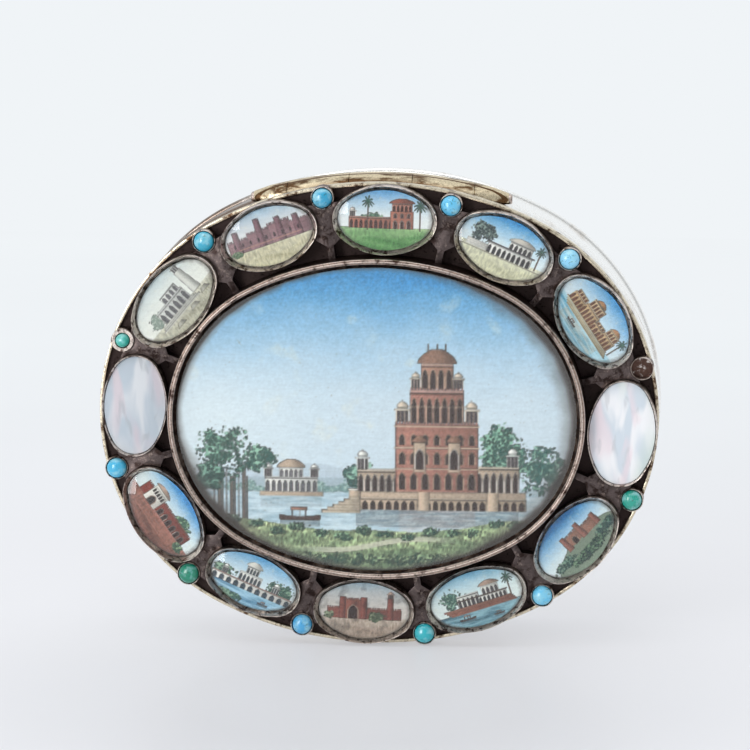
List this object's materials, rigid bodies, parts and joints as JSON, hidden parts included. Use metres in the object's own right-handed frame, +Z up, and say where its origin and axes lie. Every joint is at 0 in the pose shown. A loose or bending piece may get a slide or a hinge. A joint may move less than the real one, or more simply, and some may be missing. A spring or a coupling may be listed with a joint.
{
  "type": "paan box",
  "caption": "Oval hinged paan box standing on its long edge, its lid set with glazed miniatures, mother-of-pearl and turquoise in a gallery.",
  "frame": {"origin": "floor level, under the middle of the box as it stands on its long edge", "axes": "+X along the oval's long axis, -Y out of the lid, +Y out of the flat base, +Z up to the hinge"},
  "size_m": [0.0848, 0.0248, 0.0714],
  "materials": {
    "worn_silver": "worn",
    "blackened_silver": "oxidised",
    "gilt_silver": "worn gilt",
    "packing_card": "matt",
    "painted_ivory": "painted",
    "clear_glass": "polished",
    "mother_of_pearl": "polished",
    "turquoise": "polished"
  },
  "bodies": {
    "box": {"body_wall": "worn_silver", "base_moulding": "worn_silver", "base_plate": "worn_silver", "mouth_bearer": "gilt_silver", "body_knuckles": "gilt_silver", "hinge_pin": "worn_silver"},
    "lid": {"lid_plate": "blackened_silver", "lid_band": "worn_silver", "lid_rim": "worn_silver", "lid_knuckles": "gilt_silver", "centre_collet": "blackened_silver", "centre_wire": "worn_silver", "centre_card": "packing_card", "centre_ivory": "painted_ivory", "centre_glass": "clear_glass", "gallery_webs": "blackened_silver", "turquoise_cups": "blackened_silver", "turquoise_stones": "turquoise", "collet_01": "blackened_silver", "collet_02": "blackened_silver", "collet_03": "blackened_silver", "collet_04": "blackened_silver", "collet_05": "blackened_silver", "collet_06": "blackened_silver", "collet_07": "blackened_silver", "collet_08": "blackened_silver", "collet_09": "blackened_silver", "collet_10": "blackened_silver", "collet_11": "blackened_silver", "collet_12": "blackened_silver", "ivory_01": "painted_ivory", "glass_01": "clear_glass", "ivory_02": "painted_ivory", "glass_02": "clear_glass", "ivory_03": "painted_ivory", "glass_03": "clear_glass", "ivory_05": "painted_ivory", "glass_05": "clear_glass", "ivory_06": "painted_ivory", "glass_06": "clear_glass", "ivory_07": "painted_ivory", "glass_07": "clear_glass", "ivory_08": "painted_ivory", "glass_08": "clear_glass", "ivory_09": "painted_ivory", "glass_09": "clear_glass", "ivory_11": "painted_ivory", "glass_11": "clear_glass", "ivory_12": "painted_ivory", "glass_12": "clear_glass", "pearl_04": "mother_of_pearl", "pearl_10": "mother_of_pearl"}
  },
  "joints": [
    {"name": "lid_hinge", "type": "hinge", "parent": "box", "child": "lid", "pos_m": [0, -0.0004, 0.06745], "axis": [-1, 0, 0], "range_deg": [0, 110]}
  ]
}
